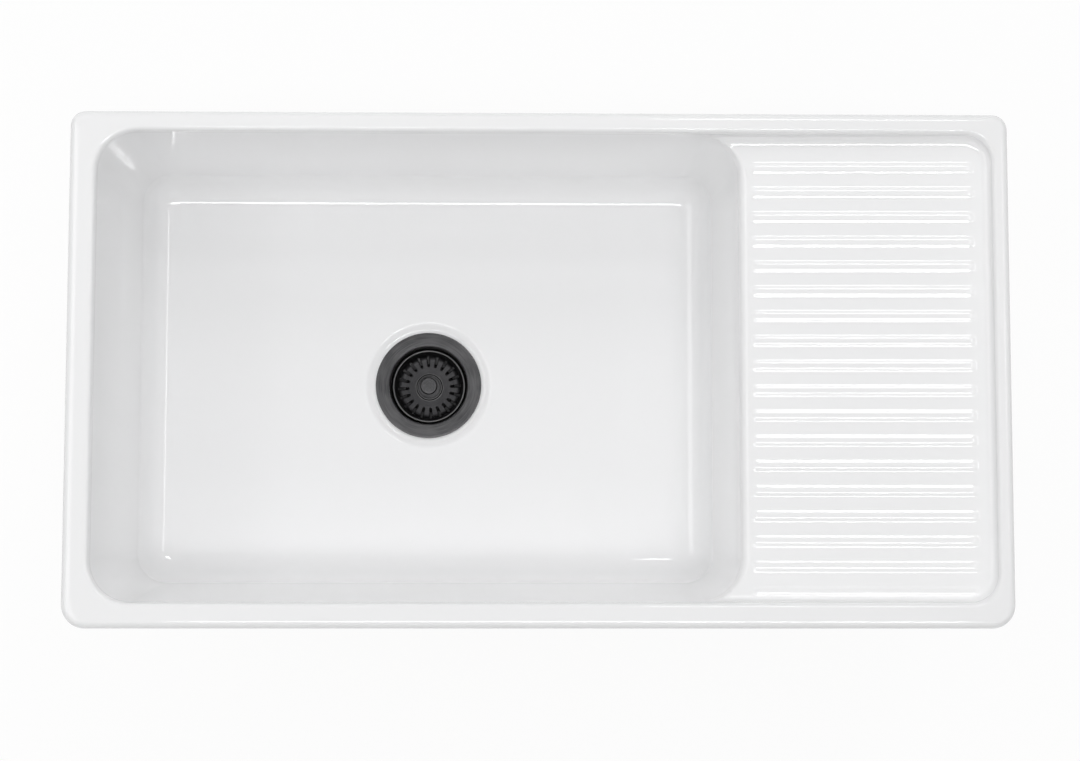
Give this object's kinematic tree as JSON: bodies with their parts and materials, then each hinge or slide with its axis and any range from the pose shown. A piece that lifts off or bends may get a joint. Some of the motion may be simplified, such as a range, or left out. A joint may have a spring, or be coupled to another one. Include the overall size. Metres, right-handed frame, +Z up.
{
  "type": "farmhouse apron front sink",
  "caption": "White fireclay apron front kitchen sink with a deep bowl, a ribbed drainboard inside the same rim and a dark basket strainer with tailpiece.",
  "frame": {"origin": "on the sink's underside, midway along its width and its depth", "axes": "+X to the drainboard, -Y to the apron front, +Y to the wall behind, +Z up; rotations follow the right hand"},
  "size_m": [0.914, 0.5, 0.4058],
  "materials": {
    "white_glaze": "gloss",
    "gunmetal": "satin",
    "basket_steel": "satin",
    "zinc_casting": "satin",
    "brass_outlet": "satin",
    "black_rubber": "matte",
    "foam_gasket": "matte",
    "fibre_ring": "matte",
    "white_washer": "satin"
  },
  "bodies": {
    "root": {"sink_body": "white_glaze", "strainer_body": "gunmetal", "flange_gasket": "foam_gasket", "sealing_washer": "black_rubber", "friction_ring": "fibre_ring", "locknut": "zinc_casting", "outlet_ferrule": "brass_outlet", "outlet_cross": "basket_steel", "tailpiece_washer": "white_washer", "tailpiece": "gunmetal", "coupling_nut": "zinc_casting"},
    "stopper": {"basket_stopper": "black_rubber"},
    "basket": {"basket_cup": "basket_steel", "basket_knob": "gunmetal", "basket_post": "basket_steel", "stopper_washer": "basket_steel", "post_nut": "basket_steel", "post_clip": "basket_steel"}
  },
  "joints": [
    {"name": "basket_lift", "type": "slide", "parent": "root", "child": "stopper", "axis": [0, 0, 1], "range_m": [0, 0.09]},
    {"name": "basket_spin", "type": "hinge", "parent": "stopper", "child": "basket", "pos_m": [-0.1175, 0, 0], "axis": [0, 0, 1], "continuous": true}
  ]
}
